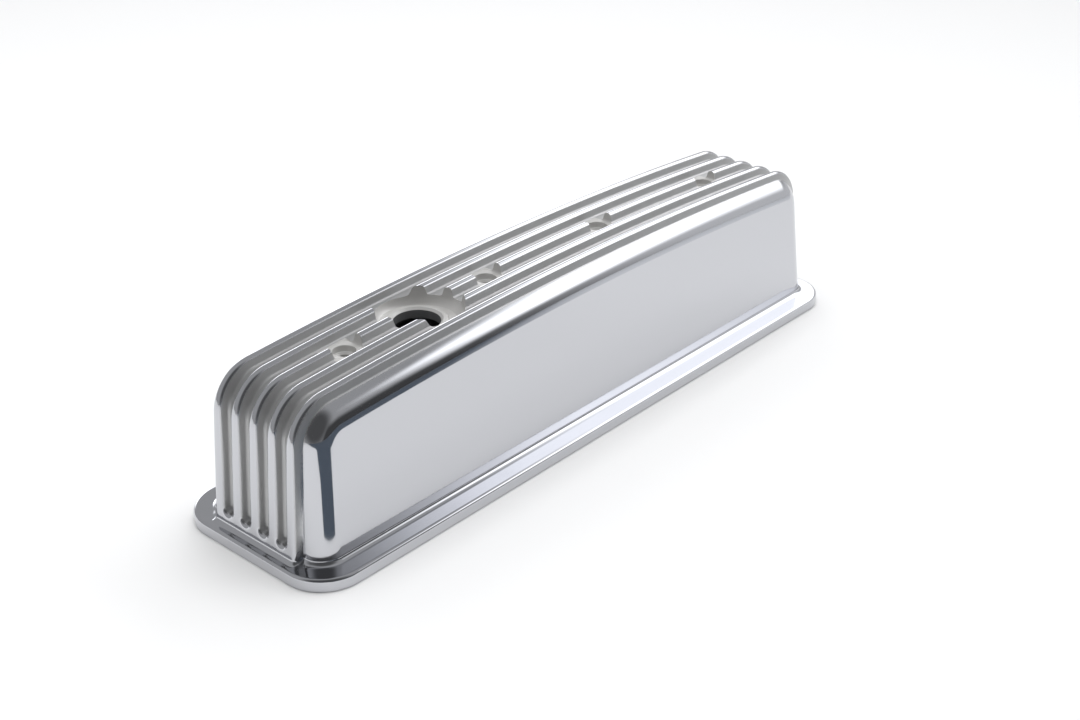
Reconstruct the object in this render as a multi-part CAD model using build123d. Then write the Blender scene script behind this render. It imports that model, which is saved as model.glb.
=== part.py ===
# Finned engine valve cover of the tall centre-bolt kind: one aluminium casting.
# Frame: origin at the middle of the gasket face, X along the cover, Y across it, Z up.
# The gasket face is z = 0 and the breather hole is on the -X half.
from build123d import *
import math
import os

# Gasket flange
flange_length = 463.5
flange_width = 117.5
flange_thickness = 7.5
flange_corner_radius = 25.0
rim_radius = 2.0
flange_fillet = 3.0

# Body above the flange, measured over the fin crests where it meets the flange
body_length = 451.0
body_width = 92.0
side_draft = 4.6
end_draft = 4.75
crest_height = 101.6
crown_radius = 2780.0
end_radius = 26.0
corner_radius = 14.5
wall = 4.5
inside_corner_radius = 9.0

# Five fins that run the length of the cover and down both ends
fin_count = 5
fin_pitch = 14.1
groove_depth = 5.5
crest_half_width = 1.9
foot_half_width = 3.5
crest_round = 1.3
foot_round = 1.6
low_crest_half_width = 3.3
low_foot_half_width = 4.7
groove_end_height = 13.5

# Four bolt pads on the centre line, in two symmetric pairs
inner_bolt_spacing = 98.5
outer_bolt_spacing = 312.5
bolt_hole_diameter = 8.0
pad_length = 20.0
pad_width = 20.0
pad_depth = 8.8
pad_boss_diameter = 22.0
pad_boss_thickness = 7.0

# Breather hole in a raised ring, in a round pocket between two of the pads
breather_x = -103.5
breather_diameter = 26.4
breather_chamfer = 1.3
ring_diameter = 40.0
ring_round = 1.0
ring_top_height = 90.6
pocket_diameter = 46.0
pocket_floor_height = 89.2
pocket_wall_under = 5.0
fin_gap_run_out = 1.5

# The core is the body at the level of the groove floors; the comb of fins stands on it
fin_span = (fin_count - 1) * fin_pitch
comb_embed = 2.5
core_relief = 1.2
comb_bottom = -groove_depth - comb_embed

# Working margins: how far tools reach past what they cut, and how close two levels count as the same
overshoot = 10.0
small = 1.0
tolerance = 0.01


# The left end wall of the side view leans inwards: its direction into the cover and its direction up it
wall_lean = math.radians(end_draft)
inward = (math.cos(wall_lean), -math.sin(wall_lean))
up = (math.sin(wall_lean), math.cos(wall_lean))
crown_z = crest_height - crown_radius


def end_arc_centre():
    """Centre of the left end arc of the crest line, which touches both the end wall and the crown."""
    start_x = -body_length / 2 + inward[0] * end_radius
    start_z = flange_thickness + inward[1] * end_radius - crown_z
    half_b = start_x * up[0] + start_z * up[1]
    c = start_x**2 + start_z**2 - (crown_radius - end_radius) ** 2
    climb = -half_b + math.sqrt(half_b**2 - c)
    return start_x + up[0] * climb, start_z + up[1] * climb + crown_z


def left_outline(depth, bottom):
    """Left half of the side view, sunk by depth below the crest line: foot, wall top, arc mid and end."""
    centre = end_arc_centre()
    radius = end_radius - depth
    wall_top = (centre[0] - inward[0] * radius, centre[1] - inward[1] * radius)
    run = (wall_top[1] - bottom) / up[1]
    wall_foot = (wall_top[0] - up[0] * run, bottom)
    reach = math.hypot(centre[0], centre[1] - crown_z)
    outward = (centre[0] / reach, (centre[1] - crown_z) / reach)
    arc_end = (centre[0] + outward[0] * radius, centre[1] + outward[1] * radius)
    mid = (outward[0] - inward[0], outward[1] - inward[1])
    size = math.hypot(mid[0], mid[1])
    arc_mid = (centre[0] + mid[0] / size * radius, centre[1] + mid[1] / size * radius)
    return [wall_foot, wall_top, arc_mid, arc_end]


def in_side_plane(point):
    """A point of the side view, in space at y = 0."""
    return Vector(point[0], 0, point[1])


def side_edges(depth, bottom):
    """The side view's edges in order, from the left foot over the top to the right foot."""
    left = left_outline(depth, bottom)
    apex = in_side_plane((0, crest_height - depth))
    left_foot, left_top, left_mid, left_end = [in_side_plane(p) for p in left]
    right_foot, right_top, right_mid, right_end = [in_side_plane((-x, z)) for x, z in left]
    return [
        Edge.make_line(left_foot, left_top),
        Edge.make_three_point_arc(left_top, left_mid, left_end),
        Edge.make_three_point_arc(left_end, apex, right_end),
        Edge.make_three_point_arc(right_end, right_mid, right_top),
        Edge.make_line(right_top, right_foot),
    ]


def slab(depth, bottom, half_width):
    """The side view made solid to half_width each side of the centre line."""
    edges = side_edges(depth, bottom)
    edges.append(Edge.make_line(edges[-1] @ 1, edges[0] @ 0))
    face = Face(Wire(edges))
    return extrude(face, amount=half_width, both=True, dir=(0, 1, 0))


def side_panels(width_at_flange, top):
    """A long block with drafted sides, width_at_flange wide where the flange top is."""
    slope = math.tan(math.radians(side_draft))
    low = width_at_flange / 2 + flange_thickness * slope
    high = width_at_flange / 2 - (top - flange_thickness) * slope
    outline = Polyline((-low, 0), (low, 0), (high, top), (-high, top), close=True)
    face = Plane.YZ * make_face(outline)
    return extrude(face, amount=flange_length, both=True)


def rounded_body(depth, width_at_flange, radius):
    """The body's block with its upright corners and shoulders rounded by one rolling radius."""
    block = slab(depth, 0, width_at_flange) & side_panels(width_at_flange, crest_height + overshoot)
    least_y = math.cos(math.radians(2 * side_draft))
    panels = block.faces().filter_by(lambda f: abs(f.normal_at().Y) > least_y)
    edges = []
    for panel in panels:
        edges += [e for e in panel.edges() if e.center().Z > small]
    return fillet(edges, radius)


def core():
    """The body at groove level, sunk a little more where the comb stands on it and fills it up."""
    over_comb = slab(0, 0, fin_span / 2) - slab(groove_depth + core_relief, -small, fin_span / 2)
    return rounded_body(groove_depth, body_width, corner_radius) - over_comb


def comb_face(crest_half, foot_half, low_level):
    """Section across all five fins: x is across the cover, y is height above the crest line."""
    points = []
    for i in range(fin_count):
        middle = -fin_span / 2 + i * fin_pitch
        first = i == 0
        last = i == fin_count - 1
        points.append((middle - foot_half, low_level if first else -groove_depth))
        points.append((middle - crest_half, 0))
        points.append((middle + crest_half, 0))
        points.append((middle + foot_half, low_level if last else -groove_depth))
    sketch = make_face(Polyline(*points, close=True))
    crests = [v for v in sketch.vertices() if v.Y > -tolerance]
    sketch = fillet(crests, crest_round)
    feet = [v for v in sketch.vertices() if abs(v.Y + groove_depth) < tolerance]
    return fillet(feet, foot_round)


def comb_plane(origin, outward):
    """Plane of a section of the comb: its y axis is the outward direction there, in the XZ plane."""
    normal = Vector(0, 1, 0).cross(Vector(outward[0], 0, outward[1]))
    return Plane(origin=in_side_plane(origin), x_dir=(0, 1, 0), z_dir=normal)


def turn_between(first, second):
    """Angle in degrees between two unit directions."""
    return math.degrees(math.acos(first[0] * second[0] + first[1] * second[1]))


def comb_over_arc(centre, radius, outward, degrees):
    """The comb's section turned about an arc's centre, from its outward direction there."""
    start = (centre[0] + outward[0] * radius, centre[1] + outward[1] * radius)
    section = comb_plane(start, outward) * comb_face(crest_half_width, foot_half_width, comb_bottom)
    axis = Axis((centre[0], 0, centre[1]), (0, 1, 0))
    return revolve(section, axis, degrees)


def end_comb(side):
    """The comb down one end, widening towards the flange: side is -1 for the left end, 1 for the right."""
    foot, top = left_outline(0, flange_thickness)[:2]
    outward = (side * inward[0], -inward[1])
    low_face = comb_face(low_crest_half_width, low_foot_half_width, comb_bottom)
    high_face = comb_face(crest_half_width, foot_half_width, comb_bottom)
    low_section = comb_plane((-side * foot[0], foot[1]), outward) * low_face
    high_section = comb_plane((-side * top[0], top[1]), outward) * high_face
    return loft([low_section, high_section], ruled=True)


def fins():
    """The comb as five pieces in a row: down the left end, over the top and down the right end."""
    centre = end_arc_centre()
    at_wall = (-inward[0], -inward[1])
    reach = math.hypot(centre[0], centre[1] - crown_z)
    at_crown = (centre[0] / reach, (centre[1] - crown_z) / reach)
    end_turn = turn_between(at_wall, at_crown)
    crown_turn = 2 * math.degrees(math.asin(-at_crown[0]))
    left_shoulder = comb_over_arc(centre, end_radius, at_wall, end_turn)
    crown = comb_over_arc((0, crown_z), crown_radius, at_crown, crown_turn)
    right_centre = (-centre[0], centre[1])
    right_start = (-at_crown[0], at_crown[1])
    right_shoulder = comb_over_arc(right_centre, end_radius, right_start, end_turn)
    return [end_comb(-1), left_shoulder, crown, right_shoulder, end_comb(1)]


def sill():
    """Plain band below the grooves on both ends, with a round bottom for each groove."""
    half = fin_span / 2 + low_foot_half_width
    top = groove_end_height + fin_pitch / 2 - low_crest_half_width
    band = slab(0, 0, half) & Pos(0, 0, top / 2) * Box(flange_length, flange_width, top)
    groove_radius = fin_pitch / 2 - low_crest_half_width
    for i in range(fin_count - 1):
        y = -fin_span / 2 + (i + 0.5) * fin_pitch
        rod = Rot(0, 90, 0) * Cylinder(groove_radius, flange_length)
        band -= Pos(0, y, top) * rod
    return band


def flange():
    """Flat gasket flange with a rounded top rim."""
    plate = extrude(RectangleRounded(flange_length, flange_width, flange_corner_radius), flange_thickness)
    return fillet(plate.edges().group_by(Axis.Z)[-1], rim_radius)


def crest_level(x):
    """Height of the crest line above the gasket face at x, over the crowned stretch."""
    return crown_z + math.sqrt(crown_radius**2 - x**2)


def bolt_positions():
    """x of the four bolts, left to right."""
    outer = outer_bolt_spacing / 2
    inner = inner_bolt_spacing / 2
    return [-outer, -inner, inner, outer]


def pad_height(x):
    """Height of a bolt pad's flat face."""
    return crest_level(x) - pad_depth


def pad_cuts():
    """Room cut through the centre fin over each bolt pad."""
    tall = pad_depth + overshoot
    cuts = []
    for x in bolt_positions():
        cuts.append(Pos(x, 0, pad_height(x) + tall / 2) * Box(pad_length, pad_width, tall))
    return cuts


def bolt_holes():
    """Through holes for the four bolts."""
    drill = Pos(0, 0, crest_height / 2) * Cylinder(bolt_hole_diameter / 2, crest_height)
    return [Pos(x, 0, 0) * drill for x in bolt_positions()]


def pocket():
    """Room for the breather ring: round between the fins beside it, which end flat; the ring stays."""
    tall = crest_height
    room = Cylinder(pocket_diameter / 2, tall, align=(Align.CENTER, Align.CENTER, Align.MIN))
    room &= Pos(0, 0, tall / 2) * Box(pocket_diameter, 2 * (fin_pitch - foot_half_width), tall)
    gap_length = 2 * math.sqrt((pocket_diameter / 2) ** 2 - fin_pitch**2)
    gap_width = 2 * (fin_pitch + foot_half_width + fin_gap_run_out)
    room += Pos(0, 0, tall / 2) * Box(gap_length, gap_width, tall)
    ring_tall = ring_top_height - pocket_floor_height
    ring = Cylinder(ring_diameter / 2, ring_tall, align=(Align.CENTER, Align.CENTER, Align.MIN))
    ring = fillet(ring.edges().group_by(Axis.Z)[-1], ring_round)
    return Pos(breather_x, 0, pocket_floor_height) * (room - ring)


def breather_hole():
    """Through hole with a chamfered mouth."""
    r = breather_diameter / 2
    hole = Pos(0, 0, -crest_height / 2) * Cylinder(r, crest_height)
    mouth = Pos(0, 0, -breather_chamfer / 2) * Cone(r, r + breather_chamfer, breather_chamfer)
    return Pos(breather_x, 0, ring_top_height) * (hole + mouth)


def cavity():
    """Plain hollow inside, one wall thickness from the groove floors and the side panels."""
    return rounded_body(groove_depth + wall, body_width - 2 * wall, inside_corner_radius)


def inner_bosses():
    """Plain thickening inside the cover below the bolt pads and the breather pocket."""
    bosses = []
    for x in bolt_positions():
        bottom = pad_height(x) - pad_boss_thickness
        tall = pad_boss_thickness
        bosses.append(Pos(x, 0, bottom + tall / 2) * Cylinder(pad_boss_diameter / 2, tall))
    tall = pocket_wall_under
    bottom = pocket_floor_height - tall
    width = pocket_diameter + 2 * wall
    bosses.append(Pos(breather_x, 0, bottom + tall / 2) * Cylinder(width / 2, tall))
    return bosses


def base_edges(body):
    """The edges where the body meets the flange's top."""
    reach_x = body_length / 2 + flange_fillet
    reach_y = body_width / 2 + flange_fillet
    edges = []
    for edge in body.edges().filter_by_position(Axis.Z, flange_thickness, flange_thickness):
        middle = edge.center()
        if abs(middle.X) < reach_x and abs(middle.Y) < reach_y:
            edges.append(edge)
    return edges


def hollow():
    """What is taken out from below: the cavity, less the thickening under the pads and the ring."""
    inside = cavity()
    for boss in inner_bosses():
        inside -= boss
    return inside


def valve_cover():
    """The whole casting."""
    cover = core() + sill() + flange()
    for piece in fins():
        cover += piece
    cover = fillet(base_edges(cover), flange_fillet)
    cover -= hollow()
    cover -= pad_cuts()
    cover -= pocket()
    cover -= breather_hole()
    cover -= bolt_holes()
    return cover


os.makedirs("parts", exist_ok=True)
casting = valve_cover()
print("valve_cover_casting:", len(casting.solids()), "solid,", round(casting.volume / 1000, 1), "cm3")
export_step(casting, "parts/valve_cover_casting.step")
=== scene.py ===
import math

import bmesh
import bpy
import numpy as np
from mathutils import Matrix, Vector


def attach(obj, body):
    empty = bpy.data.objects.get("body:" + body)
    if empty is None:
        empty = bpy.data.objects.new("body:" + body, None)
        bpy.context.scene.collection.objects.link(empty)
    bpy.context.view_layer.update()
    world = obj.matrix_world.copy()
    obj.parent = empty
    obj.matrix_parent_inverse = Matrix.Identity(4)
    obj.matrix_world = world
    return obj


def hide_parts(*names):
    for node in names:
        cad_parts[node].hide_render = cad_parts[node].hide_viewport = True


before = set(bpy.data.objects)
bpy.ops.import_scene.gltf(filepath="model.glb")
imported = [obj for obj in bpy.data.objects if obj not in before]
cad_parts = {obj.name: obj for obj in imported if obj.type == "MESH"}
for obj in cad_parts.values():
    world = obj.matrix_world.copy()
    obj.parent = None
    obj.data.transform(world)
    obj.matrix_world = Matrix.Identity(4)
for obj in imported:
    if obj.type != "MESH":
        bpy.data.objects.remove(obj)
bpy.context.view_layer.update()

# The casting's outside: a tall valve cover sand-cast in aluminium, with a gasket flange, drafted sides
# and five fins that run along the crowned top and down both ends. Everything here is one skin, worked
# out for one quarter of the cover and mirrored, because the casting is the same on all four quarters.
MM = 0.001
FLANGE_HALF_LENGTH, FLANGE_HALF_WIDTH, FLANGE_THICKNESS = 231.75, 58.75, 7.5
FLANGE_CORNER_RADIUS, RIM_RADIUS, GASKET_EDGE = 25.0, 1.9, 0.4
BODY_HALF_LENGTH, BODY_HALF_WIDTH = 225.5, 46.0
END_DRAFT, SIDE_DRAFT = math.radians(4.75), math.radians(4.6)
CREST_HEIGHT, CROWN_RADIUS, END_RADIUS = 101.6, 2780.0, 26.0
FIN_PITCH, GROOVE_DEPTH = 14.1, 5.5
GROOVE_END_HEIGHT = 17.75
BASE_FILLET = 3.0
BASE_HEIGHT = FLANGE_THICKNESS + BASE_FILLET
ROUND_STEPS = 8


def crest_centres():
    """Centre of the end arc that touches the end wall and the crown, and of the crown, in the XZ plane."""
    inward = np.array([-math.cos(END_DRAFT), -math.sin(END_DRAFT)])
    up = np.array([-math.sin(END_DRAFT), math.cos(END_DRAFT)])
    crown = np.array([0.0, CREST_HEIGHT - CROWN_RADIUS])
    start = np.array([BODY_HALF_LENGTH, FLANGE_THICKNESS]) + inward * END_RADIUS - crown
    half_b = start @ up
    climb = -half_b + math.sqrt(half_b**2 - start @ start + (CROWN_RADIUS - END_RADIUS) ** 2)
    return start + up * climb + crown, crown


END_CENTRE, CROWN_CENTRE = crest_centres()


def end_wall_x(z):
    """x of the fin crests' plane on the end wall at height z: it leans in by the end draft."""
    return BODY_HALF_LENGTH - (z - FLANGE_THICKNESS) * math.tan(END_DRAFT)


def panel_y(z):
    """Half width between the flat side panels at height z: they lean in by the side draft."""
    return BODY_HALF_WIDTH - (z - FLANGE_THICKNESS) * math.tan(SIDE_DRAFT)


def crest_line(low_rows, wall_rows, arc_rows, crown_rows):
    """Points and outward directions along the crest line, from the foot of the end wall, round the end
    arc and along the crown to the middle: a straight line, an arc and an arc. On the wall the direction
    turns from level to square with the wall, so the foot ends level."""
    arc_start = END_DRAFT
    arc_end = math.atan2(END_CENTRE[1] - CROWN_CENTRE[1], END_CENTRE[0])
    wall_top = END_CENTRE[1] + END_RADIUS * math.sin(arc_start)
    z = np.concatenate([
        np.linspace(BASE_HEIGHT, GROOVE_END_HEIGHT, low_rows + 1)[:-1],
        np.linspace(GROOVE_END_HEIGHT, wall_top, wall_rows + 1)[:-1],
    ])
    tilt = np.clip((z - GROOVE_END_HEIGHT) / (wall_top - GROOVE_END_HEIGHT), 0, 1) * END_DRAFT
    wall = np.stack([end_wall_x(z), z], 1)
    angle = np.linspace(arc_start, arc_end, arc_rows + 1)
    arc = END_CENTRE + END_RADIUS * np.stack([np.cos(angle), np.sin(angle)], 1)
    turn = np.linspace(arc_end, math.pi / 2, crown_rows + 1)[1:]
    crown = CROWN_CENTRE + CROWN_RADIUS * np.stack([np.cos(turn), np.sin(turn)], 1)
    directions = np.concatenate([tilt, angle, turn])
    points = np.concatenate([wall, arc, crown])
    return points, np.stack([np.cos(directions), np.sin(directions)], 1)


LOW_ROWS, WALL_ROWS, ARC_ROWS, CROWN_ROWS = 6, 16, 28, 60
CREST, OUTWARD = crest_line(LOW_ROWS, WALL_ROWS, ARC_ROWS, CROWN_ROWS)
LAST_ARC_ROW = LOW_ROWS + WALL_ROWS + ARC_ROWS

# Sizes of a fin and of the shoulder, in mm, at the foot of the end wall, at z = 50, at the top of the
# wall and along the crown: half the crest's width, half the fin's width at the groove floor, the rounds of
# both, and where the shoulder starts below the crest and its radius. Rows between them are interpolated.
Z_50 = 0.62
SIZE_ROWS = [0, LOW_ROWS + WALL_ROWS * Z_50, LOW_ROWS + WALL_ROWS, LAST_ARC_ROW]
ROW = np.arange(len(CREST))
CREST_HALF = np.interp(ROW, SIZE_ROWS, [3.4, 3.1, 2.7, 1.95])
FOOT_HALF = CREST_HALF + np.interp(ROW, SIZE_ROWS, [1.2, 1.3, 1.4, 1.6])
CREST_ROUND = np.interp(ROW, SIZE_ROWS, [2.6, 2.9, 2.7, 2.0])
FOOT_ROUND = np.interp(ROW, SIZE_ROWS, [2.3, 2.3, 2.0, 1.6])
SHOULDER_DEPTH = np.interp(ROW, SIZE_ROWS, [5.2, 5.2, 4.6, 3.0])
SHOULDER_RADIUS = np.interp(ROW, SIZE_ROWS, [13.5, 13.5, 14.2, 16.0])


def fin_half_section(steps=7):
    """Half a fin's section from its crest's middle to the groove's middle, one row for each row of the
    crest line: a flat, an arc round the crest's edge, a sloping flank, an arc round the foot, a flat.
    Gives the distance from the fin's middle and the height above the crest line."""
    slope = np.arctan2(GROOVE_DEPTH, FOOT_HALF - CREST_HALF)[:, None]
    crest_run = CREST_ROUND[:, None] * np.tan(slope / 2)
    foot_run = FOOT_ROUND[:, None] * np.tan(slope / 2)
    turn = slope * np.linspace(0, 1, steps)
    crest_u = CREST_HALF[:, None] - crest_run + CREST_ROUND[:, None] * np.sin(turn)
    crest_h = -CREST_ROUND[:, None] * (1 - np.cos(turn))
    back = turn[:, ::-1]
    foot_u = FOOT_HALF[:, None] + foot_run - FOOT_ROUND[:, None] * np.sin(back)
    foot_h = -GROOVE_DEPTH + FOOT_ROUND[:, None] * (1 - np.cos(back))
    nought = np.zeros_like(slope)
    u = np.concatenate([nought, crest_u, foot_u, nought + FIN_PITCH / 2], 1)
    h = np.concatenate([nought, crest_h, foot_h, nought - GROOVE_DEPTH], 1)
    return u, h


def on_crest_line(rows, y, h):
    """Points at distance y from the centre line and height h above the crest line at each row."""
    xz = CREST[rows][:, None, :] + OUTWARD[rows][:, None, :] * h[..., None]
    return np.stack([xz[..., 0], np.broadcast_to(y, h.shape), xz[..., 1]], -1)


def comb_sheets():
    """The fins between the middle fin and the outer one: half sections side by side, along the rows
    above the grooves' round ends."""
    u, h = fin_half_section()
    rows = np.arange(LOW_ROWS, len(CREST))
    sheets = []
    for fin in (0, 1, 2):
        middle = fin * FIN_PITCH
        if fin < 2:
            sheets.append(on_crest_line(rows, middle + u[rows], h[rows]))
        if fin > 0:
            sheets.append(on_crest_line(rows, middle - u[rows], h[rows]))
    return sheets


def rolled(t):
    """Points on the shoulder that a ball rolls between the top and the side panel: ball centre plus its
    radius times a direction that swings from the row's outward direction to the panel's own, t from 0
    to 1."""
    reach = (SHOULDER_DEPTH + SHOULDER_RADIUS)[:, None]
    centre = CREST - OUTWARD * reach
    centre_y = panel_y(centre[:, 1]) - SHOULDER_RADIUS / math.cos(SIDE_DRAFT)
    centre = np.stack([centre[:, 0], centre_y, centre[:, 1]], 1)
    top = np.stack([OUTWARD[:, 0], np.zeros(len(ROW)), OUTWARD[:, 1]], 1)
    side = np.array([0, math.cos(SIDE_DRAFT), math.sin(SIDE_DRAFT)])
    full = np.arccos(top @ side)[:, None]
    swing = (np.sin((1 - t) * full)[..., None] * top[:, None] + np.sin(t * full)[..., None] * side)
    swing = swing / np.sin(full)[..., None]
    points = centre[:, None] + SHOULDER_RADIUS[:, None, None] * swing
    drop = points[0, :, 2] - BASE_HEIGHT
    points[0, :, 2] = BASE_HEIGHT
    points[0, :, 1] += drop * math.tan(SIDE_DRAFT)
    depth = reach - SHOULDER_RADIUS[:, None] * (swing * top[:, None]).sum(-1)
    return points, depth


OUTER_FIN = 2 * FIN_PITCH


def shoulder_start():
    """t at which the outer fin's flank runs into the shoulder, found by halving the interval."""
    low, high = np.zeros((len(ROW), 1)), np.ones((len(ROW), 1))
    for _ in range(40):
        t = (low + high) / 2
        points, depth = rolled(t)
        share = depth / GROOVE_DEPTH
        flank = OUTER_FIN + CREST_HALF[:, None] + (FOOT_HALF - CREST_HALF)[:, None] * share
        inside = points[..., 1] < flank
        low, high = np.where(inside, t, low), np.where(inside, high, t)
    return (low + high) / 2


def shoulder_sheet(steps=18):
    """The rounded shoulder and upright corner, from the outer fin's foot to the side panel."""
    start = shoulder_start()
    return rolled(start + (1 - start) * np.linspace(0, 1, steps + 1))[0]


def outer_fin_sheet(shoulder, steps=7):
    """The outer half of the outer fin: its crest's flat and arc, then its flank to the shoulder."""
    u, h = fin_half_section(steps)
    crest = on_crest_line(ROW, OUTER_FIN + u[:, : steps + 1], h[:, : steps + 1])
    return np.concatenate([crest, shoulder[:, :1]], 1)


def panel_sheet(shoulder):
    """The flat side panel, ruled from the shoulder's edge to the line where the base fillet starts."""
    top = shoulder[:, -1]
    x = top[:, 0].copy()
    x[: LAST_ARC_ROW + 1] = np.linspace(x[0], x[LAST_ARC_ROW], LAST_ARC_ROW + 1)
    foot = np.stack([x, np.full(len(x), panel_y(BASE_HEIGHT)), np.full(len(x), BASE_HEIGHT)], 1)
    share = np.linspace(0, 1, 5)[None, :, None]
    return top[:, None] * (1 - share) + foot[:, None] * share


def groove_end_sheets(steps=36):
    """The two grooves' lower ends: the half section turned half round about the groove's end centre,
    and the flat of the end wall between that half circle and the base fillet."""
    u, h = fin_half_section()
    reach, height = FIN_PITCH / 2 - u[LOW_ROWS], h[LOW_ROWS]
    turn = np.linspace(0, math.pi, steps + 1)[:, None]
    z = GROOVE_END_HEIGHT - reach * np.sin(turn)
    levels = np.linspace(0, 1, LOW_ROWS + 1)[::-1]
    sheets = []
    for groove in (0.5, 1.5):
        y = groove * FIN_PITCH - reach * np.cos(turn)
        end = np.stack([end_wall_x(z) + height, y, z], -1)
        sheets.append(end)
        rim_y, rim_z = y[:, 0], z[:, 0]
        flat_z = rim_z[:, None] + (BASE_HEIGHT - rim_z[:, None]) * (1 - levels)
        flat_y = np.broadcast_to(rim_y[:, None], flat_z.shape)
        sheets.append(np.stack([end_wall_x(flat_z), flat_y, flat_z], -1))
    return sheets


# The base fillet leaves the end wall's straight line within this width, in mm, at the upright corner
CORNER_BLEND = 7.0


def flange_sheet(end_flats, outer_fin, shoulder, panel):
    """The base fillet, the flange's top, its rounded rim, its edge and half its underside: each station
    of the body's foot is carried out to the rim on a quarter ellipse, a line, an arc and lines."""
    crest_foot = np.concatenate([end_flats[0][:-1, -1], end_flats[1][:-1, -1], outer_fin[0, :-1]])
    corner = shoulder[0, :-1]
    side = panel[:, -1]
    foot = np.concatenate([crest_foot, corner, side])
    n_end, n_corner = len(crest_foot), len(corner)
    centre_x = side[0, 0]
    centre_y = panel_y(BASE_HEIGHT) - SHOULDER_RADIUS[0]
    angle = np.arctan2(corner[:, 1] - centre_y, corner[:, 0] - centre_x)
    fillet_x = BODY_HALF_LENGTH + BASE_FILLET
    side_y = BODY_HALF_WIDTH + BASE_FILLET
    reach = side_y - centre_y
    off_x, off_y = centre_x + reach * np.cos(angle), centre_y + reach * np.sin(angle)
    blend = np.clip((off_y - corner[0, 1]) / CORNER_BLEND, 0, 1)
    blend = blend * blend * (3 - 2 * blend)
    outer = foot.copy()
    outer[:n_end, 0] = fillet_x
    outer[n_end : n_end + n_corner, 0] = fillet_x * (1 - blend) + off_x * blend
    outer[n_end : n_end + n_corner, 1] = off_y
    outer[n_end + n_corner :, 1] = side_y
    outer[:, 2] = FLANGE_THICKNESS
    square = (angle - angle[0]) / (math.pi / 2 - angle[0]) * (math.pi / 2)
    out = np.zeros((len(foot), 2))
    out[:n_end] = (1, 0)
    out[n_end : n_end + n_corner] = np.stack([np.cos(square), np.sin(square)], 1)
    out[n_end + n_corner :] = (0, 1)
    bend = FLANGE_CORNER_RADIUS
    rim = np.empty((len(foot), 2))
    rim[:, 0] = np.where(out[:, 1] == 1, foot[:, 0], FLANGE_HALF_LENGTH - bend + bend * out[:, 0])
    rim[:, 1] = np.where(out[:, 0] == 1, foot[:, 1], FLANGE_HALF_WIDTH - bend + bend * out[:, 1])
    rings = []
    for turn in np.linspace(0, math.pi / 2, ROUND_STEPS + 1):
        ring = foot + (outer - foot) * (1 - math.cos(turn))
        ring[:, 2] = foot[:, 2] + (outer[:, 2] - foot[:, 2]) * math.sin(turn)
        rings.append(ring)
    profile = [(-RIM_RADIUS * (1 - math.sin(a)), FLANGE_THICKNESS - RIM_RADIUS * (1 - math.cos(a)))
               for a in np.linspace(0, math.pi / 2, ROUND_STEPS + 1)]
    profile += [(0.0, GASKET_EDGE), (-GASKET_EDGE, 0.0)]
    for inset, z in profile:
        rings.append(np.column_stack([rim + out * inset, np.full(len(foot), z)]))
    rings.append(np.zeros((len(foot), 3)))
    return np.stack(rings, 1)


def outside_sheets():
    """All sheets of one quarter of the outside."""
    shoulder = shoulder_sheet()
    outer_fin = outer_fin_sheet(shoulder)
    panel = panel_sheet(shoulder)
    ends = groove_end_sheets()
    flange = flange_sheet([ends[1], ends[3]], outer_fin, shoulder, panel)
    return comb_sheets() + [outer_fin, shoulder, panel] + ends + [flange]


def grid_faces(rows, columns):
    """Quads of a grid of rows by columns points, as point numbers."""
    number = np.arange(rows * columns).reshape(rows, columns)
    quads = np.stack([number[:-1, :-1], number[1:, :-1], number[1:, 1:], number[:-1, 1:]], -1)
    return quads.reshape(-1, 4)


# Points of two sheets nearer than the first distance, in mm, are one point; shorter edges than the second
# have no length
JOINED_WITHIN, NO_LENGTH = 0.004, 0.001


def closed_mesh(name, sheets, signs):
    """One closed mesh of the sheets, repeated with each pair of signs for x and y and joined where they
    meet."""
    points, faces, total = [], [], 0
    for sign_x, sign_y in signs:
        for sheet in sheets:
            flat = sheet.reshape(-1, 3) * (sign_x, sign_y, 1)
            points.append(flat)
            faces.append(grid_faces(*sheet.shape[:2]) + total)
            total += len(flat)
    mesh = bpy.data.meshes.new(name)
    mesh.from_pydata((np.concatenate(points) * MM).tolist(), [], np.concatenate(faces).tolist())
    work = bmesh.new()
    work.from_mesh(mesh)
    bmesh.ops.remove_doubles(work, verts=work.verts, dist=JOINED_WITHIN * MM)
    bmesh.ops.dissolve_degenerate(work, edges=work.edges, dist=NO_LENGTH * MM)
    bmesh.ops.recalc_face_normals(work, faces=work.faces)
    work.to_mesh(mesh)
    open_edges = sum(1 for edge in work.edges if not edge.is_manifold)
    print(name, len(work.faces), "faces,", open_edges, "open edges")
    work.free()
    piece = bpy.data.objects.new(name, mesh)
    bpy.context.scene.collection.objects.link(piece)
    return piece


FOUR_QUARTERS = [(1, 1), (-1, 1), (-1, -1), (1, -1)]
cover = closed_mesh("valve_cover", outside_sheets(), FOUR_QUARTERS)

# The openings: the hollow inside, four bolt pads cut through the middle fin with their through holes,
# and the round pocket with the raised ring of the breather hole. The hollow is cored in the mould, and
# the pads, the ring's face and the holes are machined after casting.
WALL, CEILING_DEPTH, INSIDE_RADIUS, CEILING_EDGE = 4.5, 10.0, 9.0, 12.0
BOLT_X = [-156.25, -49.25, 49.25, 156.25]
BOLT_RADIUS, BOLT_CHAMFER, PAD_DEPTH, DISH_RADIUS = 4.0, 1.1, 8.8, 6.6
GAP_HALF_LENGTH, GAP_HALF_WIDTH, GAP_CORNER, GAP_DRAFT = 9.6, 9.3, 2.4, math.radians(5)
BOSS_RADIUS, BOSS_HEIGHT = 11.0, 7.0
BREATHER_X, BREATHER_RADIUS, BREATHER_CHAMFER = -103.5, 13.2, 1.3
RING_RADIUS, RING_TOP, RING_ROUND = 17.6, 90.6, 1.5
POCKET_FLOOR, POCKET_SHIFT, POCKET_SKEW, POCKET_BOSS_RADIUS = 89.4, 2.0, 0.25, 27.0
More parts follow.
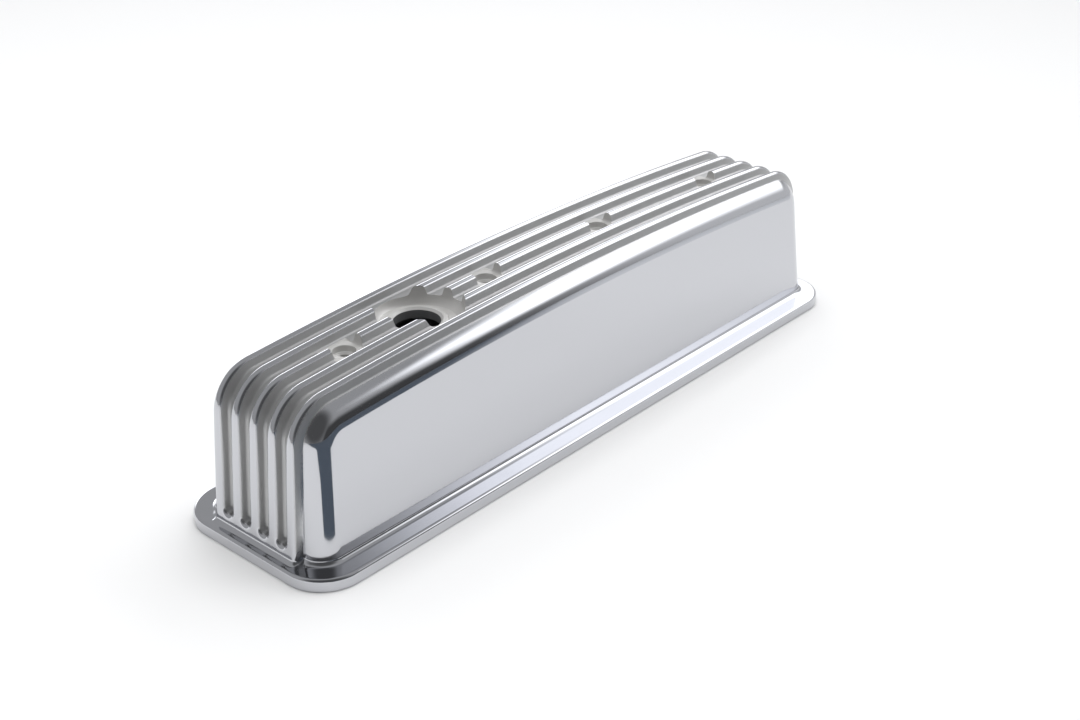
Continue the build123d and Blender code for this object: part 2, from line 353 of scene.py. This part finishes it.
# The pocket's wall from its floor up: radius, height over the floor, and share of the shift and the skew
POCKET_WALL = [(19.6, 0.0, 0.6), (20.3, 0.5, 0.6), (21.0, 1.5, 0.7), (21.6, 3.0, 0.8), (22.0, 5.0, 1.0),
               (22.3, 10.5, 1.0), (22.5, 22.6, 1.0)]
# Heights that lie clear above the crests, clear below the gasket face and clear inside the hollow, and
# how far one shape runs past a face of another, so that no two faces lie in one plane
ABOVE, BELOW, IN_HOLLOW, OVERSHOOT = 112.0, -5.0, 60.0, 1.0
GAP_FLOOR_ROUND, GAP_SIDE_DRAFT, GAP_BELOW_FLOOR = 1.2, 0.2, 0.03
SEAT_MARGIN, DISH_ABOVE_FLOOR, BOSS_BELOW_SEAT = 0.5, 0.25, 0.3
POCKET_BOSS_ABOVE, POCKET_BOSS_HEIGHT, RING_FOOT = 1.5, 6.5, 0.4


def crown_z(x):
    """Height of the fin crests over x along the crown."""
    return CREST_HEIGHT - CROWN_RADIUS + np.sqrt(CROWN_RADIUS**2 - np.asarray(x, float) ** 2)


def rounded_rectangle(half_x, half_y, radius, steps=12):
    """Points round a rectangle with rounded corners, anticlockwise."""
    ring = []
    for quarter, (sx, sy) in enumerate([(1, 1), (-1, 1), (-1, -1), (1, -1)]):
        angle = np.linspace(quarter, quarter + 1, steps + 1) * math.pi / 2
        ring.append(np.stack([sx * (half_x - radius) + radius * np.cos(angle),
                              sy * (half_y - radius) + radius * np.sin(angle)], 1))
    return np.concatenate(ring)


def stacked_mesh(name, rings):
    """A closed mesh of rings, one above the other, each a closed loop: the loop's first point is repeated
    at its end and both end rings shrink to their middle."""
    rings = [np.concatenate([ring, ring[:1]]) for ring in rings]
    ends = [np.broadcast_to(ring.mean(0), ring.shape) for ring in (rings[0][:-1], rings[-1][:-1])]
    ends = [np.concatenate([end, end[:1]]) for end in ends]
    return closed_mesh(name, [np.stack([ends[0]] + rings + [ends[1]], 0)], [(1, 1)])


def turned_mesh(name, x, profile, steps=96):
    """A profile of (radius, height) pairs turned about the upright axis through x on the centre line."""
    angle = np.linspace(0, 2 * math.pi, steps + 1)
    profile = np.array(profile)
    ring_x = x + profile[:, :1] * np.cos(angle)
    ring_y = profile[:, :1] * np.sin(angle)
    ring_z = np.broadcast_to(profile[:, 1:], ring_x.shape)
    return closed_mesh(name, [np.stack([ring_x, ring_y, ring_z], -1)], [(1, 1)])


def quarter_turn(centre, radius, start, end, steps=8):
    """Points (radius, height) on an arc of a profile, angles in degrees."""
    angle = np.radians(np.linspace(start, end, steps + 1))
    return [(centre[0] + radius * math.cos(a), centre[1] + radius * math.sin(a)) for a in angle]


def hollow_tool():
    """The core of the hollow: rounded rectangles that lean in by the drafts, then round over into a
    ceiling that follows the crown one wall below the grooves."""
    rings = []
    top = CREST_HEIGHT - CEILING_DEPTH
    lean_z = np.linspace(BELOW, top - CEILING_EDGE, 8)
    turn = np.linspace(0, math.pi / 2, 11)[1:]
    levels = [(z, 0.0) for z in lean_z]
    levels += [(top - CEILING_EDGE * (1 - math.sin(a)), CEILING_EDGE * (1 - math.cos(a))) for a in turn]
    for z, inset in levels:
        half_x = end_wall_x(z) - CEILING_DEPTH - inset
        half_y = panel_y(z) - WALL - inset
        ring = rounded_rectangle(half_x, half_y, max(INSIDE_RADIUS - inset * 0.5, 2.0))
        drop = (CREST_HEIGHT - crown_z(ring[:, 0])) * np.clip((z - BELOW) / (top - BELOW), 0, 1)
        rings.append(np.column_stack([ring, z - drop]))
    last = rings[-1]
    for share in (0.8, 0.6, 0.4, 0.2, 0.05):
        ring = last[:, :2] * share
        rings.append(np.column_stack([ring, top - (CREST_HEIGHT - crown_z(ring[:, 0]))]))
    return stacked_mesh("hollow_tool", rings)


def gap_tool(x):
    """The gap in the middle fin over a bolt: a rounded box down to the groove floors, that widens upwards
    by its draft."""
    floor = float(crown_z(x)) - GROOVE_DEPTH - GAP_BELOW_FLOOR
    rings = []
    for rise in (0.0, 0.5, GAP_FLOOR_ROUND, ABOVE - floor):
        grow = rise * math.tan(GAP_DRAFT) - max(0.0, GAP_FLOOR_ROUND - rise) ** 2 / 2
        half_width = GAP_HALF_WIDTH + min(grow, GAP_SIDE_DRAFT)
        ring = rounded_rectangle(GAP_HALF_LENGTH + grow, half_width, GAP_CORNER)
        rings.append(np.column_stack([ring[:, 0] + x, ring[:, 1], np.full(len(ring), floor + rise)]))
    return stacked_mesh("gap_tool", rings)


def dish_tool(x):
    """The bolt's seat and hole: a shallow dish turned about the bolt's axis, from the groove floors down
    to the seat on half a cosine wave, then a chamfer and the drilled hole."""
    seat = float(crown_z(x)) - PAD_DEPTH
    rise = PAD_DEPTH - GROOVE_DEPTH + DISH_ABOVE_FLOOR
    inner = BOLT_RADIUS + BOLT_CHAMFER
    share = np.linspace(0, 1, 12)
    start = inner + SEAT_MARGIN
    wall = [(start + (DISH_RADIUS - start) * t, seat + rise * (1 - math.cos(math.pi * t)) / 2)
            for t in share]
    profile = [(0, IN_HOLLOW), (BOLT_RADIUS, IN_HOLLOW), (BOLT_RADIUS, seat - BOLT_CHAMFER), (inner, seat)]
    profile += wall + [(DISH_RADIUS, seat + rise + OVERSHOOT), (0, seat + rise + OVERSHOOT)]
    return turned_mesh("dish_tool", x, profile, 72)


def pocket_tool(steps=120):
    """Room round the breather ring: circles that grow upwards, moved along the cover by a share of the
    shift and sheared by a share of the skew, so the fins end nearer on one side than on the other."""
    angle = np.linspace(0, 2 * math.pi, steps + 1)
    rings = []
    for radius, rise, share in POCKET_WALL:
        y = radius * np.sin(angle)
        x = BREATHER_X + radius * np.cos(angle) + share * (POCKET_SHIFT - POCKET_SKEW * y)
        rings.append(np.column_stack([x, y, np.full(len(angle), POCKET_FLOOR + rise)])[:-1])
    return stacked_mesh("pocket_tool", rings)


def cylinder(name, x, radius, low, high, steps=64):
    """A plain upright cylinder about x on the centre line."""
    return turned_mesh(name, x, [(0, low), (radius, low), (radius, high), (0, high)], steps)


def combine(piece, tool, operation):
    """Adds or removes the tool, and deletes it."""
    step = piece.modifiers.new(operation, "BOOLEAN")
    step.operation = operation
    step.solver = "MANIFOLD"
    step.object = tool
    bpy.context.view_layer.objects.active = piece
    bpy.ops.object.modifier_apply(modifier=step.name)
    bpy.data.objects.remove(tool)


combine(cover, hollow_tool(), "DIFFERENCE")
for bolt_x in BOLT_X:
    pad_floor = float(crown_z(bolt_x)) - PAD_DEPTH
    boss = cylinder("boss", bolt_x, BOSS_RADIUS, pad_floor - BOSS_HEIGHT, pad_floor - BOSS_BELOW_SEAT)
    combine(cover, boss, "UNION")
boss_top = POCKET_FLOOR + POCKET_BOSS_ABOVE
boss = cylinder("boss", BREATHER_X, POCKET_BOSS_RADIUS, boss_top - POCKET_BOSS_HEIGHT, boss_top, 96)
combine(cover, boss, "UNION")
for bolt_x in BOLT_X:
    combine(cover, gap_tool(bolt_x), "DIFFERENCE")
    combine(cover, dish_tool(bolt_x), "DIFFERENCE")
combine(cover, pocket_tool(), "DIFFERENCE")
ring_foot = POCKET_FLOOR - OVERSHOOT
ring = [(0, ring_foot), (RING_RADIUS + RING_FOOT, ring_foot), (RING_RADIUS + RING_FOOT / 2, POCKET_FLOOR)]
ring += quarter_turn((RING_RADIUS - RING_ROUND, RING_TOP - RING_ROUND), RING_ROUND, 0, 90)
ring += [(0, RING_TOP)]
combine(cover, turned_mesh("ring", BREATHER_X, ring), "UNION")
mouth = [(0, IN_HOLLOW), (BREATHER_RADIUS, IN_HOLLOW), (BREATHER_RADIUS, RING_TOP - BREATHER_CHAMFER)]
mouth_top = RING_TOP + OVERSHOOT
mouth += [(BREATHER_RADIUS + BREATHER_CHAMFER + OVERSHOOT, mouth_top), (0, mouth_top)]
combine(cover, turned_mesh("breather_hole", BREATHER_X, mouth), "DIFFERENCE")

mesh = cover.data
mesh.shade_smooth()
SHARP_ANGLE = math.radians(32)
mesh.set_sharp_from_angle(angle=SHARP_ANGLE)
weighted = cover.modifiers.new("weighted_normals", "WEIGHTED_NORMAL")
weighted.keep_sharp = True
print("cover", len(mesh.polygons), "faces", len(mesh.vertices), "points")
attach(cover, "root")
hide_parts("valve_cover_casting")


def srgb(colour):
    """Linear colour of an sRGB hex value."""
    parts = [int(colour[i : i + 2], 16) / 255 for i in (1, 3, 5)]
    return [c / 12.92 if c <= 0.04045 else ((c + 0.055) / 1.055) ** 2.4 for c in parts] + [1.0]


def add_node(tree, kind, inputs=(), **settings):
    """Adds a node. The settings name its properties or its sockets. The inputs are (socket, value) pairs,
    where a value is the output of another node, which is linked, or a number."""
    node = tree.nodes.new(kind)
    for name, value in settings.items():
        if hasattr(node, name):
            setattr(node, name, value)
        else:
            node.inputs[name.replace("_", " ")].default_value = value
    for socket, value in inputs:
        if isinstance(value, bpy.types.NodeSocket):
            tree.links.new(value, node.inputs[socket])
        else:
            node.inputs[socket].default_value = value
    return node


def new_surface(name, **settings):
    """A material of one Principled shader with the given socket values: material, nodes, shader."""
    material = bpy.data.materials.new(name)
    material.use_nodes = True
    shader = material.node_tree.nodes["Principled BSDF"]
    for socket, value in settings.items():
        shader.inputs[socket.replace("_", " ")].default_value = value
    return material, material.node_tree, shader


def object_noise(tree, cell_mm, stretch=(1, 1, 1), detail=3.0, roughness=0.5):
    """Noise on Object coordinates whose cells are cell_mm across, stretched along each axis."""
    coordinates = add_node(tree, "ShaderNodeTexCoord")
    scaled = add_node(tree, "ShaderNodeMapping", [("Vector", coordinates.outputs["Object"])],
                      Scale=[1 / (cell_mm * MM * s) for s in stretch])
    return add_node(tree, "ShaderNodeTexNoise", [("Vector", scaled.outputs["Vector"])],
                    Scale=1.0, Detail=detail, Roughness=roughness).outputs["Fac"]


# Noise stays mostly between these two values, which are carried to the lowest and highest roughness
NOISE_LOW, NOISE_HIGH = 0.3, 0.7


# Finish of the outside: cast aluminium, ground and buffed bright on the sides, the shoulders, the flange
# and the fin crests. The wheel doesn't reach into the grooves, so their flanks and floors stay satin,
# with streaks along the fins. Their grey is partly that satin skin and partly painted shade in the grooves.
def crest_depth(x, z):
    """Depth below the crest line, in mm: from the end wall's plane, the end arc or the crown, whichever
    is nearest."""
    across = np.abs(x)
    angle = np.arctan2(z - END_CENTRE[1], across - END_CENTRE[0])
    wall = (end_wall_x(z) - across) * math.cos(END_DRAFT)
    arc = END_RADIUS - np.hypot(across - END_CENTRE[0], z - END_CENTRE[1])
    crown = CROWN_RADIUS - np.hypot(across - CROWN_CENTRE[0], z - CROWN_CENTRE[1])
    arc_end = math.atan2(END_CENTRE[1] - CROWN_CENTRE[1], END_CENTRE[0])
    on_wall = (angle < END_DRAFT) & (across > END_CENTRE[0] - END_RADIUS)
    on_arc = (angle >= END_DRAFT) & (angle < arc_end)
    return np.where(on_wall, wall, np.where(on_arc, arc, crown))


def smooth_step(value, low, high):
    """0 below low, 1 above high, with a smooth rise between."""
    share = np.clip((value - low) / (high - low), 0, 1)
    return share * share * (3 - 2 * share)


places = np.zeros(len(mesh.vertices) * 3, np.float32)
mesh.vertices.foreach_get("co", places)
px, py, pz = (places.reshape(-1, 3) / MM).T.astype(float)
depth = crest_depth(px, pz)
# The wheel buffs the fins down to the first depth below the crest and nothing deeper than the second. The
# satin ends on the outer fin's outer flank, between the last two distances, in mm, from its middle.
BUFFED_DEPTH, SATIN_DEPTH, FLANK_END, SHOULDER_TOP = 0.5, 1.5, 3.4, 5.0
in_comb = 1 - smooth_step(np.abs(py), OUTER_FIN + FLANK_END, OUTER_FIN + SHOULDER_TOP)
satin_and_shade = smooth_step(depth, BUFFED_DEPTH, SATIN_DEPTH) * in_comb
satin_and_shade *= smooth_step(pz, BASE_HEIGHT, GROOVE_END_HEIGHT)
# This attribute marks the grooves' satin finish and, through its grey, the painted shade there.
attribute = mesh.attributes.new("satin_and_shade", "FLOAT", "POINT")
attribute.data.foreach_set("value", satin_and_shade.astype(np.float32))
# The satin colour is the grooves' oxide grey, set darker as painted shade in the grooves.
POLISHED_COLOUR, SATIN_AND_SHADE_COLOUR, SATIN_METALLIC = "#c8c9cd", "#bfbfbf", 0.84


def buffed_aluminium():
    """Buffed cast aluminium: a mirror with faint waves from the wheel, fine streaks along the cover and a
    breath of haze. The attribute read here dulls it in the grooves, where it has its oxide skin, and greys
    it there, partly for that skin and partly as painted shade. The streaks are about 0.3 mm wide, coarser
    than the wheel leaves them, so that they show."""
    material, tree, shader = new_surface("buffed_cast_aluminium")
    dull_and_shade = add_node(tree, "ShaderNodeAttribute", attribute_name="satin_and_shade").outputs["Fac"]
    streaks = object_noise(tree, 0.35, stretch=(24, 1, 1), detail=2.0)
    haze = object_noise(tree, 22.0, detail=3.0)
    grain = object_noise(tree, 0.45, detail=2.0)
    lines = object_noise(tree, 0.28, stretch=(40, 1, 1), detail=2.0)
    waves = object_noise(tree, 16.0, stretch=(1.6, 1, 1), detail=1.0)
    spread = []
    for source, low, high in ((haze, 0.045, 0.10), (lines, 0.0, 0.03), (streaks, 0.36, 0.48)):
        carried = add_node(tree, "ShaderNodeMapRange", [("Value", source)], From_Min=NOISE_LOW,
                           From_Max=NOISE_HIGH, To_Min=low, To_Max=high)
        spread.append(carried.outputs["Result"])
    bright = add_node(tree, "ShaderNodeMath", [(0, spread[0]), (1, spread[1])], operation="ADD")
    roughness = add_node(tree, "ShaderNodeMix", [("Factor", dull_and_shade), ("A", bright.outputs["Value"]),
                                                 ("B", spread[2])])
    metallic = add_node(tree, "ShaderNodeMix", [("Factor", dull_and_shade), ("A", 1.0), ("B", SATIN_METALLIC)])
    # The grooves' grey: partly their satin oxide skin, partly painted shade.
    skin_and_shade_tint = add_node(tree, "ShaderNodeMix", [("Factor", dull_and_shade), ("A", srgb(POLISHED_COLOUR)),
                                            ("B", srgb(SATIN_AND_SHADE_COLOUR))], data_type="RGBA")
    for socket, node in (("Roughness", roughness), ("Metallic", metallic), ("Base Color", skin_and_shade_tint)):
        tree.links.new(node.outputs["Result"], shader.inputs[socket])
    fine = add_node(tree, "ShaderNodeMath", [(0, streaks), (1, dull_and_shade)], operation="MULTIPLY")
    speckle = add_node(tree, "ShaderNodeMath", [(0, grain), (1, dull_and_shade)], operation="MULTIPLY")
    before = []
    for height, depth_mm in ((waves, 0.008), (fine.outputs["Value"], 0.004),
                             (speckle.outputs["Value"], 0.006)):
        bump = add_node(tree, "ShaderNodeBump", [("Height", height)] + before, Strength=1.0,
                        Distance=depth_mm * MM)
        before = [("Normal", bump.outputs["Normal"])]
    tree.links.new(bump.outputs["Normal"], shader.inputs["Normal"])
    return material


def rough_aluminium(name, colour, pattern_mm, roughness_mm, roughness, depth_mm, stretch=(1, 1, 1),
                    detail=4.0, bare=1.0):
    """Aluminium that isn't polished. One noise gives its relief, with cells of pattern_mm and a depth of
    depth_mm, and one of roughness_mm, or the same one where that is None, carries the roughness between
    its two limits. The rest of the bare share is the dull oxide skin."""
    material, tree, shader = new_surface(name, Metallic=bare, Base_Color=srgb(colour))
    relief = object_noise(tree, pattern_mm, stretch=stretch, detail=detail,
                          roughness=0.5 if roughness_mm is None else 0.65)
    patches = relief if roughness_mm is None else object_noise(tree, roughness_mm, detail=2.0)
    low, high = roughness
    carried = add_node(tree, "ShaderNodeMapRange", [("Value", patches)], From_Min=NOISE_LOW,
                       From_Max=NOISE_HIGH, To_Min=low, To_Max=high)
    tree.links.new(carried.outputs["Result"], shader.inputs["Roughness"])
    bump = add_node(tree, "ShaderNodeBump", [("Height", relief)], Strength=1.0, Distance=depth_mm * MM)
    tree.links.new(bump.outputs["Normal"], shader.inputs["Normal"])
    return material


mesh.materials.clear()
mesh.materials.append(buffed_aluminium())
# The pads and the pocket: milled, then blasted, an even grain that scatters the light
mesh.materials.append(rough_aluminium("matt_cast_pad", "#d2d1cf", 0.7, 9.0, (0.48, 0.6), 0.04, bare=0.5))
# The hollow: sand-cast and left alone, coarse and dark grey
mesh.materials.append(rough_aluminium("sand_cast_inside", "#8d8e90", 1.1, 9.0, (0.55, 0.7), 0.18, bare=0.6))
# The gasket face: fly-cut flat, with long fine tool marks across the cover that glint
mesh.materials.append(rough_aluminium("machined_gasket_face", "#cfd0d2", 0.5, None, (0.22, 0.38), 0.01,
                                      stretch=(1, 60, 1), detail=1.0))
BUFFED, MATT, AS_CAST, MACHINED = range(4)

centres = np.zeros(len(mesh.polygons) * 3, np.float32)
facings = np.zeros(len(mesh.polygons) * 3, np.float32)
mesh.polygons.foreach_get("center", centres)
mesh.polygons.foreach_get("normal", facings)
cx, cy, cz = (centres.reshape(-1, 3) / MM).T.astype(float)
nx, ny, _ = facings.reshape(-1, 3).T.astype(float)
face_depth = crest_depth(cx, cz)

# Each face takes the finish of the cut that it lies on. A face belongs to a cut when its middle is no
# more than these distances, in mm, past the cut's own size or this far below the crests.
REACH, CLOSE_REACH, FLOOR_REACH, CREST_SKIN, SEAT_DEPTH = 0.3, 0.15, 0.1, 0.2, 4.9
HOLLOW_REACH, HOLLOW_DEPTH, HOLLOW_FOOT, GASKET_SKIN, TURNED_OUT = 3.5, 7.5, 0.05, 0.02, 0.05
finish = np.full(len(cx), BUFFED, np.int32)
on_pad = np.zeros(len(cx), bool)
for bolt_x in BOLT_X:
    from_bolt = np.hypot(cx - bolt_x, cy)
    seat = float(crown_z(bolt_x)) - PAD_DEPTH
    on_pad |= (from_bolt < DISH_RADIUS + REACH) & (cz > seat - FLOOR_REACH) & (face_depth > SEAT_DEPTH)
    in_hole = from_bolt < BOLT_RADIUS + BOLT_CHAMFER + FLOOR_REACH
    on_pad |= in_hole & (cz > seat - BOSS_HEIGHT + FLOOR_REACH)
    along = GAP_HALF_LENGTH + CLOSE_REACH + np.maximum(cz - seat, 0) * math.tan(GAP_DRAFT)
    in_gap = (np.abs(cx - bolt_x) < along) & (np.abs(cy) < GAP_HALF_WIDTH + REACH)
    on_pad |= in_gap & (face_depth > CREST_SKIN)
radius, rise, share = np.array(POCKET_WALL).T
above_floor = cz - POCKET_FLOOR
moved = np.interp(above_floor, rise, share) * (POCKET_SHIFT - POCKET_SKEW * cy)
from_breather = np.hypot(cx - BREATHER_X - moved, cy)
in_pocket = from_breather < np.interp(above_floor, rise, radius) + CLOSE_REACH
on_pad |= in_pocket & (above_floor > -FLOOR_REACH)
finish[on_pad & (face_depth > CREST_SKIN)] = MATT
outwards = (nx * np.sign(cx) > TURNED_OUT) | (ny * np.sign(cy) > TURNED_OUT)
inside = (np.abs(cy) < panel_y(cz) - HOLLOW_REACH) & (face_depth > HOLLOW_DEPTH) & (cz > HOLLOW_FOOT)
finish[inside & ~on_pad & ~(outwards & (np.abs(cy) > OUTER_FIN))] = AS_CAST
finish[cz < GASKET_SKIN] = MACHINED
mesh.polygons.foreach_set("material_index", finish)

# The floor: a plain pale sheet of matt white card, laid flat, so large that its edge stays out of the
# picture. The cover stands on it with its gasket face.
FLOOR_HALF = 1.9
floor_mesh = bpy.data.meshes.new("floor")
corners = [(-1, -1), (1, -1), (1, 1), (-1, 1)]
floor_mesh.from_pydata([(x * FLOOR_HALF, y * FLOOR_HALF, 0.0) for x, y in corners], [], [(0, 1, 2, 3)])
floor = bpy.data.objects.new("floor", floor_mesh)
bpy.context.scene.collection.objects.link(floor)
card, _, card_shader = new_surface("matt_white_card", Base_Color=srgb("#f2f2f2"), Roughness=0.9)
card_shader.inputs["Specular IOR Level"].default_value = 0.1
floor_mesh.materials.append(card)

# The backdrop: a round wall of pale paper round the floor. Only the camera sees it, so the light and the
# reflections come from the tent behind it.
BACKDROP_RADIUS, BACKDROP_HEIGHT, BACKDROP_SIDES, PAPER_GLOW = 1.86, 2.6, 96, 0.42
# The wall is two rings of points on one circle, (cos, sin) times the radius, joined by upright quads
turn = np.linspace(0, 2 * math.pi, BACKDROP_SIDES, endpoint=False)
round_line = np.column_stack([np.cos(turn), np.sin(turn)]) * BACKDROP_RADIUS
low_line = np.column_stack([round_line, np.zeros(BACKDROP_SIDES)])
high_line = np.column_stack([round_line, np.full(BACKDROP_SIDES, BACKDROP_HEIGHT)])
post = np.arange(BACKDROP_SIDES)
after = (post + 1) % BACKDROP_SIDES
walls = np.column_stack([after, post, post + BACKDROP_SIDES, after + BACKDROP_SIDES])
paper_mesh = bpy.data.meshes.new("backdrop")
paper_mesh.from_pydata(np.vstack([low_line, high_line]).tolist(), [], walls.tolist())
backdrop = bpy.data.objects.new("backdrop", paper_mesh)
bpy.context.scene.collection.objects.link(backdrop)
backdrop.visible_diffuse = backdrop.visible_glossy = backdrop.visible_transmission = False
backdrop.visible_shadow = False
paper, _, paper_shader = new_surface("pale_backdrop_paper", Base_Color=srgb("#f2f2f2"), Roughness=0.9)
paper_shader.inputs["Emission Color"].default_value = srgb("#f4f4f5")
paper_shader.inputs["Emission Strength"].default_value = PAPER_GLOW
paper_mesh.materials.append(paper)

# A dark mat that lies in front of the cover, on the camera's side. Only reflections see it, so
# the floor stays plain in the picture while the polished corner and the shoulder get their dark bands.
MAT_CORNERS = [(-0.195, -0.093), (-0.150, -0.212), (-0.062, -0.228), (1.8, -0.245), (1.8, -1.85),
               (-1.8, -1.85), (-1.8, -0.55), (-0.40, -0.25), (-0.30, -0.172), (-0.247, -0.092)]
MAT_HEIGHT, MAT_DARK, MAT_PALE = 0.0006, "#525b66", "#dcdde0"
FADE_ACROSS, FADE_START, FADE_END = (0.73, 0.68, 0.0), -0.17, 0.02
mat_mesh = bpy.data.meshes.new("dark_mat")
mat_mesh.from_pydata([(x, y, MAT_HEIGHT) for x, y in MAT_CORNERS], [], [tuple(range(len(MAT_CORNERS)))])
mat = bpy.data.objects.new("dark_mat", mat_mesh)
bpy.context.scene.collection.objects.link(mat)
mat.visible_camera = mat.visible_diffuse = mat.visible_shadow = mat.visible_transmission = False
felt, felt_tree, felt_shader = new_surface("grey_felt", Roughness=1.0)
spot = add_node(felt_tree, "ShaderNodeTexCoord").outputs["Object"]
across = add_node(felt_tree, "ShaderNodeVectorMath", [(0, spot), (1, FADE_ACROSS)], operation="DOT_PRODUCT")
fade = add_node(felt_tree, "ShaderNodeMapRange", [("Value", across.outputs["Value"])],
                From_Min=FADE_START, From_Max=FADE_END, interpolation_type="SMOOTHSTEP")
shade = add_node(felt_tree, "ShaderNodeMix", [("Factor", fade.outputs["Result"]), ("A", srgb(MAT_DARK)),
                                              ("B", srgb(MAT_PALE))], data_type="RGBA")
felt_tree.links.new(shade.outputs["Result"], felt_shader.inputs["Base Color"])
mat_mesh.materials.append(felt)

# The light: a pale grey studio tent, dark low down on the near side, where the room shows under its
# edge, and behind the camera. A tall white softbox stands on the right, as high as 1.1 of its distance,
# and a low white strip behind the cover draws the bright line along each fin's crest.
world = bpy.data.worlds.new("studio_tent")
bpy.context.scene.world = world
world.use_nodes = True
tent = world.node_tree
ROOM_DARK, ROOM_PALE, TENT_LEVEL, CAMERA_SIDE_LEVEL = 0.07, 0.72, 0.43, 0.10
BOX_LEVEL, STRIP_LEVEL = 2.1, 3.0
TENT_EDGE_NEAR, TENT_EDGE_FAR, TENT_EDGE_SOFT, TENT_EDGE_LIFT = 0.36, 0.12, 0.14, 0.5
CAMERA_SIDE = Vector((-0.55, -0.60, 0.58)).normalized()


def lit_share(*steps):
    """The product of smooth steps, each from low at start to high at end of its source, as one output."""
    product = None
    for source, start, end, low, high in steps:
        step = add_node(tent, "ShaderNodeMapRange", [("Value", source)], interpolation_type="SMOOTHSTEP",
                        From_Min=start, From_Max=end, To_Min=low, To_Max=high).outputs["Result"]
        if product is not None:
            step = add_node(tent, "ShaderNodeMath", [(0, product), (1, step)], operation="MULTIPLY")
            step = step.outputs["Value"]
        product = step
    return product


direction = add_node(tent, "ShaderNodeTexCoord").outputs["Generated"]
parts = add_node(tent, "ShaderNodeSeparateXYZ", [("Vector", direction)])
to_right, to_far, upward = (parts.outputs[axis] for axis in "XYZ")
edge = lit_share((to_far, -0.5, 0.35, TENT_EDGE_NEAR, TENT_EDGE_FAR))
lift = lit_share((to_right, -0.45, 0.1, TENT_EDGE_LIFT, 0.0))
over = add_node(tent, "ShaderNodeMath", [(0, upward), (1, edge)], operation="SUBTRACT").outputs["Value"]
above_edge = add_node(tent, "ShaderNodeMath", [(0, over), (1, lift)], operation="ADD").outputs["Value"]
cloth = lit_share((above_edge, -TENT_EDGE_SOFT, TENT_EDGE_SOFT, 0.0, 1.0))
room = lit_share((to_far, -0.80, -0.62, ROOM_DARK, ROOM_PALE))
facing = add_node(tent, "ShaderNodeVectorMath", [(0, direction), (1, CAMERA_SIDE)], operation="DOT_PRODUCT")
cloth_level = lit_share((facing.outputs["Value"], 0.55, 0.9, TENT_LEVEL, CAMERA_SIDE_LEVEL))
level = add_node(tent, "ShaderNodeMix", [("Factor", cloth), ("A", room), ("B", cloth_level)])
level = level.outputs["Result"]

# The softbox's bounds are slopes, height and sideways distance over the distance to the right
NEAREST = 0.02
distance = add_node(tent, "ShaderNodeMath", [(0, to_right), (1, NEAREST)], operation="MAXIMUM")
distance = distance.outputs["Value"]
box_height, box_side = (
    add_node(tent, "ShaderNodeMath", [(0, part), (1, distance)], operation="DIVIDE").outputs["Value"]
    for part in (upward, to_far))
box = lit_share((box_height, 0.28, 0.62, 0.0, 1.0), (box_height, 0.92, 1.35, 1.0, 0.0),
                (box_side, -1.4, -0.85, 0.0, 1.0), (box_side, 0.5, 0.95, 1.0, 0.0))
strip = lit_share((to_far, 0.58, 0.70, 0.0, 1.0), (upward, 0.30, 0.43, 1.0, 0.0),
                  (upward, 0.0, 0.06, 0.0, 1.0), (to_right, 0.1, 0.35, 0.0, 1.0))
for share, power in ((box, BOX_LEVEL), (strip, STRIP_LEVEL)):
    level = add_node(tent, "ShaderNodeMath", [(0, share), (1, power), (2, level)], operation="MULTIPLY_ADD")
    level = level.outputs["Value"]
tent.links.new(level, tent.nodes["Background"].inputs["Strength"])
tent.nodes["Background"].inputs["Color"].default_value = srgb("#fcfdff")


def soft_light(name, place, target, size, power):
    """A rectangular soft light at place, facing target, in metres and watts."""
    light = bpy.data.lights.new(name, "AREA")
    light.shape = "RECTANGLE"
    light.size, light.size_y = size
    light.energy = power
    lamp = bpy.data.objects.new(name, light)
    bpy.context.scene.collection.objects.link(lamp)
    lamp.location = place
    lamp.rotation_euler = (Vector(target) - Vector(place)).to_track_quat("-Z", "Y").to_euler()
    return lamp


overhead = soft_light("overhead_softbox", (0.0, 0.0, 2.0), (0, 0, 0), (2.2, 1.8), 34)
back = soft_light("back_softbox", (-0.2, 1.15, 1.45), (-0.1, 0, 0), (0.7, 0.35), 1.8)
overhead.visible_glossy = back.visible_glossy = False

# The camera stands to the left of the near side and looks down along the cover. Its angles, its distance
# and its lens are those that put the cover's edges where the photograph has them.
CAMERA_AZIMUTH, CAMERA_ELEVATION, CAMERA_DISTANCE = math.radians(48.56), math.radians(28.17), 0.91581
AIM = Vector((-0.02422, -0.01900, 0.040))
SENSOR_WIDTH, LENS = 36.0, 52.35
camera_data = bpy.data.cameras.new("camera")
camera_data.sensor_width, camera_data.lens, camera_data.clip_start = SENSOR_WIDTH, LENS, 0.01
away = Vector((-math.sin(CAMERA_AZIMUTH) * math.cos(CAMERA_ELEVATION),
               -math.cos(CAMERA_AZIMUTH) * math.cos(CAMERA_ELEVATION), math.sin(CAMERA_ELEVATION)))
camera = bpy.data.objects.new("camera", camera_data)
bpy.context.scene.collection.objects.link(camera)
camera.location = AIM + away * CAMERA_DISTANCE
camera.rotation_euler = (math.pi / 2 - CAMERA_ELEVATION, 0, -CAMERA_AZIMUTH)
bpy.context.scene.camera = camera
bpy.context.scene.view_settings.view_transform = "Standard"
